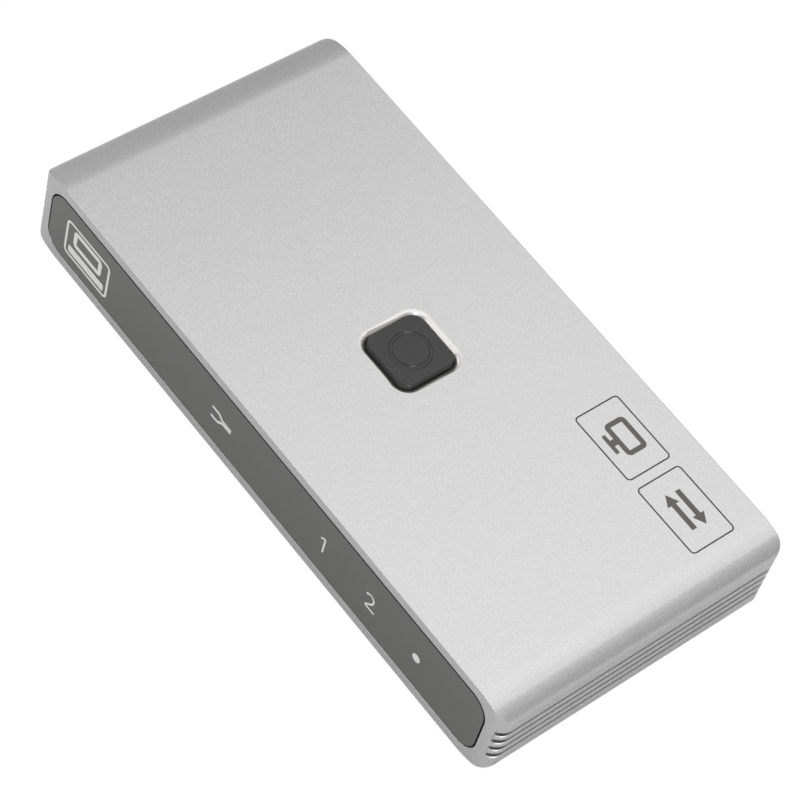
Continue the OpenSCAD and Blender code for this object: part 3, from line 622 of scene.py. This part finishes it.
class SWITCHBOX_OT_dress_sleeve(Operator):
    """Finishes the extruded metal body with soft edges, a blasted surface and painted shade in the
    grooves
    """

    bl_idname = "switch_box.dress_sleeve"
    bl_label = "Body"

    def execute(self, context):
        look = context.scene.switch_box.sleeve
        low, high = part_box("case_sleeve")
        centre = middle("case_sleeve")
        cuts = [("x", 0.0), ("x", SCREW_X), ("x", -SCREW_X), ("z", centre.z + GROOVE_Z)]
        bm = merged_copy("case_sleeve", cuts)

        def at_rim(point):
            return point.y < low.y + NEAR or point.y > high.y - NEAR

        def at_hole(point):
            return (max(abs(point.x), abs(point.y)) < HOLE_REACH
                    and point.z > high.z - HOLE_DEPTH)

        def at_end(point):
            return abs(point.x) > high.x - GROOVE_RUN

        def at_groove_height(point):
            return abs(point.z - centre.z) < GROOVE_SPAN

        def is_ridge(edge):
            faces_up = any(face.normal.z > FACING for face in edge.link_faces)
            return faces_up and within(edge, at_groove_height)

        def in_groove(point, normal):
            shallow, deep = (high.x - depth for depth in GROOVE_FLOOR)
            is_floor = abs(normal.x) > FACING and abs(point.x) < shallow
            is_wall = abs(normal.z) > FACING
            return at_groove_height(point) and abs(point.x) > deep and (is_floor or is_wall)

        soften(bm, creases(bm, at_rim), look.rim_edge, segments=3)
        mouth = creases(bm, at_hole)
        outer = [edge for edge in mouth if edge.verts[0].co.z > high.z - NEAR]
        inner = [edge for edge in mouth if edge not in outer]
        soften(bm, inner, look.hole_round, segments=6)
        soften(bm, outer, look.hole_edge)
        ridges = [edge for edge in creases(bm, at_end) if is_ridge(edge)]
        soften(bm, ridges, look.ridge_edge, segments=4)
        soften(bm, creases(bm, at_end), look.groove_edge)
        # Chamfer faces get the cut metal. Faces down in the grooves get painted shade, a darker
        # metal that stands in for the shade in these recesses
        for face in bm.faces:
            place = face.calc_center_median()
            if at_hole(place) and SLOPING < face.normal.z < FACING:
                face.material_index = 1
            elif in_groove(place, face.normal):
                face.material_index = 2
        blasted = make_finish(
            "Blasted metal", look.metal, look.roughness, look.grain, grain_tone=0.52,
            grain_roughness=0.2, cloud_size=0.03, cloud_tone=0.015, cloud_roughness=0.03,
            relief=3e-6, metallic=1.0)
        cut = make_finish(
            "Cut metal", look.cut, 0.3, 0.2 * MM, grain_tone=0.06, grain_roughness=0.08,
            relief=6e-7, metallic=1.0)
        # Painted shade for the faces down in the grooves
        painted_shade_metal = make_finish(
            "Painted groove shade", look.painted_groove_shade, 0.45, look.grain, grain_tone=0.3, relief=3e-6, metallic=1.0)
        new_piece("case_sleeve_finished", bm, "case", [blasted, cut, painted_shade_metal],
                  replaces=["case_sleeve"])
        return {"FINISHED"}


class SWITCHBOX_OT_dress_panels(Operator):
    """Finishes the tinted front strip and the rear socket panel"""

    bl_idname = "switch_box.dress_panels"
    bl_label = "Panels"

    def execute(self, context):
        look = context.scene.switch_box.panels
        tinted = make_finish(
            "Tinted panel", look.front, 0.3, 0.12 * MM, grain_tone=0.16, grain_roughness=0.08,
            cloud_size=0.018, cloud_tone=0.06, cloud_roughness=0.05, relief=8e-7, dust=0.004,
            ior=1.6, coat_weight=1.0, coat_roughness=0.22, coat_ior=1.6)
        moulded = make_finish(
            "Spark textured plastic", look.rear, 0.5, 0.16 * MM, grain_tone=0.12,
            grain_roughness=0.14, cloud_tone=0.05, relief=8e-6, dust=0.003)
        # Near black for the front strip's sides, painted shade of the gap round it
        border = make_finish(
            "Panel edge painted shade", look.border, 0.6, 0.12 * MM, grain_tone=0.2, relief=1e-6)
        bm = merged_copy("front_panel")
        soften(bm, creases(bm), look.front_edge, segments=3)
        # All faces but the front face get the painted shade
        for face in bm.faces:
            if face.normal.y > -FACING:
                face.material_index = 1
        new_piece("front_panel_finished", bm, "case", [tinted, border],
                  replaces=["front_panel"])
        cuts = [("x", middle(socket + "_shell").x) for socket in SOCKETS]
        cuts += [("x", SCREW_X), ("x", -SCREW_X)]
        dress_copy("rear_panel", moulded, look.rear_edge, cuts=cuts)
        return {"FINISHED"}


class SWITCHBOX_OT_dress_button(Operator):
    """Finishes the black push button"""

    bl_idname = "switch_box.dress_button"
    bl_label = "Button"

    def execute(self, context):
        look = context.scene.switch_box.button
        satin = make_finish(
            "Satin button", look.plastic, look.roughness, 0.07 * MM, grain_tone=0.15,
            grain_roughness=0.1, cloud_size=0.004, cloud_tone=0.08, cloud_roughness=0.06,
            relief=1.5e-6, dust=0.01, ior=1.6)
        # The sides: matt, and painted paler as painted light
        matt_sides_painted_light = make_finish(
            "Matt button wall, painted light", look.wall, 0.55, 0.07 * MM, grain_tone=0.15, relief=1.5e-6)
        bm = merged_copy("button_cap", [("x", 0.0), ("y", 0.0)])

        def at_ring(point):
            return point.xy.length < RING_REACH

        ring = creases(bm, at_ring)
        sides = [edge for edge in creases(bm) if edge not in ring]
        soften(bm, ring, look.ring_edge)
        soften(bm, [edge for edge in sides if edge.is_valid], look.edge)
        # Faces that stand upright get the paler colour of the sides, which is painted light
        for face in bm.faces:
            if abs(face.normal.z) < SLOPING:
                face.material_index = 1
        new_piece("button_cap_finished", bm, "button", [satin, matt_sides_painted_light],
                  replaces=["button_cap"])
        return {"FINISHED"}


class SWITCHBOX_OT_dress_sockets(Operator):
    """Finishes the three video sockets and the power socket"""

    bl_idname = "switch_box.dress_sockets"
    bl_label = "Sockets"

    def execute(self, context):
        plated = make_finish(
            "Plated sheet", (0.66, 0.655, 0.64), 0.3, 0.08 * MM, grain_tone=0.08,
            grain_roughness=0.16, cloud_size=0.004, cloud_tone=0.06, relief=6e-7,
            stretch=(1.0, 0.08, 1.0), metallic=1.0)
        insert = make_finish(
            "Insert plastic", (0.018, 0.018, 0.019), 0.48, 0.1 * MM, grain_tone=0.14,
            relief=3e-6)
        gold = make_finish(
            "Gold plating", (0.83, 0.60, 0.24), 0.24, 0.05 * MM, grain_tone=0.06,
            cloud_size=0.002, relief=3e-7, metallic=1.0)
        for socket in SOCKETS:
            shell = socket + "_shell"
            cuts = [("x", middle(shell).x + spring) for spring in (0.0, *SPRINGS)]
            dress_copy(shell, plated, 0.04 * MM, cuts=cuts)
            dress_node(socket + "_insert", insert)
            dress_node(socket + "_contacts", gold)
        return {"FINISHED"}


class SWITCHBOX_OT_dress_fixings(Operator):
    """Finishes the rubber feet and the screws that they cover"""

    bl_idname = "switch_box.dress_fixings"
    bl_label = "Feet and screws"

    def execute(self, context):
        rubber = make_finish(
            "Foot rubber", (0.022, 0.022, 0.022), 0.72, 0.12 * MM, grain_tone=0.2,
            cloud_tone=0.12, relief=5e-6, dust=0.03)
        steel = make_finish(
            "Black plated steel", (0.16, 0.16, 0.165), 0.36, 0.06 * MM, grain_tone=0.1,
            relief=8e-7, metallic=1.0)
        dress_copy("rubber_feet", rubber, 0.1 * MM)
        dress_copy("cover_screws", steel, 0.03 * MM)
        return {"FINISHED"}


class SWITCHBOX_OT_dress_switch(Operator):
    """Finishes the push switch and its snap dome"""

    bl_idname = "switch_box.dress_switch"
    bl_label = "Push switch"

    def execute(self, context):
        sheet = make_finish(
            "Tinned sheet", (0.64, 0.64, 0.65), 0.34, 0.06 * MM, grain_tone=0.08,
            relief=6e-7, stretch=(0.1, 1.0, 1.0), metallic=1.0)
        black = make_finish(
            "Switch plastic", (0.02, 0.02, 0.02), 0.5, 0.09 * MM, grain_tone=0.14, relief=2e-6)
        leg = make_finish(
            "Tinned legs", (0.7, 0.7, 0.69), 0.3, 0.05 * MM, grain_tone=0.1, relief=6e-7,
            metallic=1.0)
        dress_node("switch_base", black)
        dress_node("switch_legs", leg)
        dress_node("switch_cover", sheet)
        dress_node("switch_plunger", black)
        dome = new_piece(
            "switch_dome_finished", merged_copy("switch_dome"), "case", [sheet],
            replaces=["switch_dome"])
        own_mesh(dome)
        return {"FINISHED"}


class SWITCHBOX_OT_dress_board(Operator):
    """Finishes the circuit board and the small parts on it"""

    bl_idname = "switch_box.dress_board"
    bl_label = "Board"

    def execute(self, context):
        mask = make_finish(
            "Solder mask", (0.015, 0.13, 0.055), 0.36, 0.4 * MM, grain_tone=0.18,
            cloud_size=0.006, cloud_tone=0.1, relief=3e-6, coat_weight=0.4)
        resin = make_finish(
            "Moulded resin", (0.024, 0.024, 0.026), 0.62, 0.08 * MM, grain_tone=0.22,
            relief=3e-6)
        tin = make_finish(
            "Tinned leads", (0.7, 0.7, 0.69), 0.28, 0.05 * MM, grain_tone=0.1, relief=6e-7,
            metallic=1.0)
        ceramic = make_finish(
            "Ceramic", (0.5, 0.36, 0.22), 0.5, 0.06 * MM, grain_tone=0.14, relief=2e-6)
        lamp = make_finish(
            "Lamp resin", (0.85, 0.86, 0.84), 0.22, 0.3 * MM, grain_tone=0.03, relief=4e-7,
            subsurface_weight=0.3, subsurface_scale=0.001)
        frame_black = make_finish(
            "Carrier plastic", (0.028, 0.028, 0.028), 0.55, 0.15 * MM, grain_tone=0.14,
            relief=5e-6)
        film = make_finish(
            "Adhesive film", (0.78, 0.78, 0.75), 0.6, 0.2 * MM, grain_tone=0.06,
            cloud_size=0.005, cloud_tone=0.06, relief=2e-6)
        finishes = {
            mask: ["main_board"],
            resin: ["switch_chip", "voltage_regulator", "resistors", "surge_arrays"],
            tin: ["chip_leads", "regulator_leads", "led_leads"],
            ceramic: ["filter_capacitors"],
            lamp: ["led_1", "led_2", "led_power"],
            frame_black: ["front_carrier"],
            film: ["panel_tape"],
        }
        for material, nodes in finishes.items():
            for node in nodes:
                dress_node(node, material)
        return {"FINISHED"}


class SWITCHBOX_OT_print_front_marks(Operator):
    """Prints the input numbers, the power dot and two plain signs on the front strip"""

    bl_idname = "switch_box.print_front_marks"
    bl_label = "Front marks"

    def execute(self, context):
        look = context.scene.switch_box.marks
        # The white ink glows a little: painted light that brightens the print
        ink = make_finish(
            "White ink", look.white, 0.5, 0.1 * MM, grain_tone=0.04, cloud_size=0.003,
            cloud_tone=0.03, relief=1e-6, emission_color=(1.0, 1.0, 1.0, 1.0),
            emission_strength=0.12)
        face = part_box("front_panel")[0].y
        tall = look.numeral
        line = look.stroke

        def put(name, bm):
            x, z = FRONT_MARKS[name]
            print_mark(name, bm, FRONT_FACE, Vector((x * MM, face, z * MM)), ink,
                       look.film)

        one = bmesh.new()
        flag = 0.30 * tall
        pen = Pen(one, line, (-0.5 * flag, 0.28 * tall), 38)
        pen.line(flag * 0.8).bend(-128).line(0.92 * tall)
        put("mark_one", one)

        two = bmesh.new()
        bowl = 0.26 * tall
        pen = Pen(two, line, (-bowl * 0.95, tall / 2 - line / 2 - bowl * 0.72), 68)
        pen.bend(-160, bowl).bend(-42, bowl * 1.6).line(0.40 * tall).bend(133).line(0.56 * tall)
        put("mark_two", two)

        dot = bmesh.new()
        add_disc(dot, look.dot)
        put("mark_power", dot)

        joining = bmesh.new()
        slant = 40
        turn = 0.8 * MM
        for side in (1, -1):
            pen = Pen(joining, 0.42 * MM, (-2.6 * MM, side * 0.95 * MM), 0)
            pen.line(1.2 * MM).bend(-side * slant, turn).line(0.5 * MM)
            pen.bend(side * slant, turn).line(1.6 * MM)
        put("mark_joining_lines", joining)

        screen = bmesh.new()
        add_frame(screen, (9.93 * MM, 7.0 * MM), 0.9 * MM, 0.4 * MM)
        add_frame(screen, (6.4 * MM, 3.3 * MM), 0.8 * MM, 0.75 * MM, (0.0, 1.05 * MM))
        add_plate(screen, (8.1 * MM, 1.35 * MM), 0.3 * MM, (0.0, -2.0 * MM))
        put("mark_screen", screen)
        return {"FINISHED"}


class SWITCHBOX_OT_print_top_marks(Operator):
    """Prints two framed signs on the top, a screen and a pair of arrows"""

    bl_idname = "switch_box.print_top_marks"
    bl_label = "Top marks"

    def execute(self, context):
        look = context.scene.switch_box.marks
        grey, dark = (
            make_finish(name, color, 0.55, 0.1 * MM, grain_tone=0.12, cloud_size=0.003,
                        cloud_tone=0.06, relief=1e-6)
            for name, color in (("Grey ink", look.grey), ("Dark ink", look.dark)))
        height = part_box("case_sleeve")[1].z

        def put(name, bm, side, ink):
            x, y = TOP_FRAMES[side][0]
            print_mark(name, bm, TOP_FACE, Vector((x * MM, y * MM, height)), ink,
                       look.film)

        for side, (_, (wide, deep)) in TOP_FRAMES.items():
            border = bmesh.new()
            add_frame(border, (wide * MM, deep * MM), look.frame_corner, look.frame_line)
            put("mark_frame_" + side, border, side, dark)

        screen = bmesh.new()
        add_frame(screen, (5.6 * MM, 3.5 * MM), 0.8 * MM, 0.75 * MM, (0.0, 0.55 * MM))
        add_outline(screen, (
            (-0.5, -1.2), (-0.5, -1.8), (-1.6, -1.8), (-1.6, -2.4), (1.6, -2.4), (1.6, -1.8),
            (0.5, -1.8), (0.5, -1.2)))
        put("mark_top_screen", screen, "left", grey)

        arrows = bmesh.new()
        arrow = (
            (-2.9, 0.55), (1.4, 0.55), (1.4, -0.05), (3.15, 0.95), (1.4, 1.95), (1.4, 1.35),
            (-2.9, 1.35))
        add_outline(arrows, arrow)
        add_outline(arrows, [(-x, -y) for x, y in arrow])
        put("mark_top_arrows", arrows, "right", grey)
        return {"FINISHED"}


class SWITCHBOX_OT_build_stage(Operator):
    """Sets the camera, the soft lights, the room and the pale floor"""

    bl_idname = "switch_box.build_stage"
    bl_label = "Stage"

    def execute(self, context):
        look = context.scene.switch_box.stage
        scene = context.scene
        camera = bpy.data.cameras.new("Camera")
        camera.lens = look.camera_lens
        camera.sensor_width = SENSOR_WIDTH
        camera.clip_start = CLIP_START
        holder = bpy.data.objects.new("Camera", camera)
        holder.location = look.camera_place
        holder.rotation_euler = look.camera_turn
        scene.collection.objects.link(holder)
        scene.camera = holder
        for name, place, size, setting in LIGHTS:
            back = (0.0, 0.0, 1.0) if name == LEVEL_LIGHT else place
            self.softbox(scene, name, place, back, size, getattr(look, setting))
        self.room(scene, look.ambient)
        self.floor(scene, look)
        scene.view_settings.view_transform = "Standard"
        return {"FINISHED"}

    def softbox(self, scene, name, place, back, size, radiance):
        """A soft rectangular light at a place, with its back turned the given way."""
        lamp = bpy.data.lights.new(name, "AREA")
        lamp.shape = "RECTANGLE"
        lamp.size, lamp.size_y = size
        lamp.energy = radiance * math.pi * size[0] * size[1]
        holder = bpy.data.objects.new(name, lamp)
        holder.location = place
        holder.rotation_euler = Vector(back).to_track_quat("Z", "Y").to_euler()
        holder.visible_camera = False
        scene.collection.objects.link(holder)

    def room(self, scene, ambient):
        """Even light from all round, with a white backdrop for the camera."""
        world = bpy.data.worlds.new("Studio")
        world.use_nodes = True
        tree = world.node_tree
        room = tree.nodes["Background"]
        room.inputs["Color"].default_value = (ambient, ambient, ambient, 1.0)
        backdrop = add_node(tree, "Background")
        backdrop.inputs["Color"].default_value = (1.0, 1.0, 1.0, 1.0)
        mix = add_node(tree, "MixShader")
        seen = add_node(tree, "LightPath").outputs["Is Camera Ray"]
        tree.links.new(seen, mix.inputs[0])
        tree.links.new(room.outputs[0], mix.inputs[1])
        tree.links.new(backdrop.outputs[0], mix.inputs[2])
        tree.links.new(mix.outputs[0], tree.nodes["World Output"].inputs["Surface"])
        scene.world = world

    def floor(self, scene, look):
        """A pale floor that shows white, with a faint soft shadow."""
        bm = bmesh.new()
        bmesh.ops.create_grid(bm, x_segments=1, y_segments=1, size=FLOOR_HALF)
        mesh = bpy.data.meshes.new("Floor")
        bm.to_mesh(mesh)
        bm.free()
        floor = bpy.data.objects.new("Floor", mesh)
        floor.location.z = -FLOOR_DROP
        scene.collection.objects.link(floor)
        material = bpy.data.materials.new("Pale floor")
        material.use_nodes = True
        tree = material.node_tree
        tree.nodes.remove(tree.nodes["Principled BSDF"])
        bounce = add_node(tree, "BsdfDiffuse")
        bounce.inputs["Color"].default_value = (look.floor, look.floor, look.floor, 1.0)
        white = add_node(tree, "Emission", strength=FLOOR_WHITE)
        shown = add_node(tree, "MixShader")
        shown.inputs[0].default_value = look.shadow
        tree.links.new(white.outputs[0], shown.inputs[1])
        tree.links.new(bounce.outputs[0], shown.inputs[2])
        mix = add_node(tree, "MixShader")
        seen = add_node(tree, "LightPath").outputs["Is Camera Ray"]
        tree.links.new(seen, mix.inputs[0])
        tree.links.new(bounce.outputs[0], mix.inputs[1])
        tree.links.new(shown.outputs[0], mix.inputs[2])
        tree.links.new(mix.outputs[0], tree.nodes["Material Output"].inputs["Surface"])
        mesh.materials.append(material)


class SWITCHBOX_PT_panel(Panel):
    """Lists the settings and the steps"""

    bl_idname = "SWITCHBOX_PT_panel"
    bl_label = "Switch Box"
    bl_space_type = "VIEW_3D"
    bl_region_type = "UI"
    bl_category = "Switch Box"

    def draw(self, context):
        look = context.scene.switch_box
        for group in ("sleeve", "panels", "button", "marks", "stage"):
            box = self.layout.box()
            settings = getattr(look, group)
            for key in settings.__annotations__:
                box.prop(settings, key)
        for step in STEPS:
            self.layout.operator(step.bl_idname)


SETTINGS = (
    SleeveSettings, PanelSettings, ButtonSettings, MarkSettings, StageSettings,
    SwitchBoxSettings)

STEPS = (
    SWITCHBOX_OT_build_stage, SWITCHBOX_OT_dress_sleeve, SWITCHBOX_OT_dress_panels,
    SWITCHBOX_OT_dress_button, SWITCHBOX_OT_dress_sockets, SWITCHBOX_OT_dress_fixings,
    SWITCHBOX_OT_dress_switch, SWITCHBOX_OT_dress_board, SWITCHBOX_OT_print_front_marks,
    SWITCHBOX_OT_print_top_marks)


def register():
    """Adds the settings, the steps and the sidebar panel."""
    for item in (*SETTINGS, *STEPS, SWITCHBOX_PT_panel):
        bpy.utils.register_class(item)
    bpy.types.Scene.switch_box = PointerProperty(type=SwitchBoxSettings)


def unregister():
    """Takes them out again."""
    del bpy.types.Scene.switch_box
    for item in reversed((*SETTINGS, *STEPS, SWITCHBOX_PT_panel)):
        bpy.utils.unregister_class(item)


def main():
    """Builds the whole scene."""
    register()
    ops = bpy.ops.switch_box
    ops.build_stage()
    ops.dress_sleeve()
    ops.dress_panels()
    ops.dress_button()
    ops.dress_sockets()
    ops.dress_fixings()
    ops.dress_switch()
    ops.dress_board()
    ops.print_front_marks()
    ops.print_top_marks()


if __name__ == "__main__":
    main()
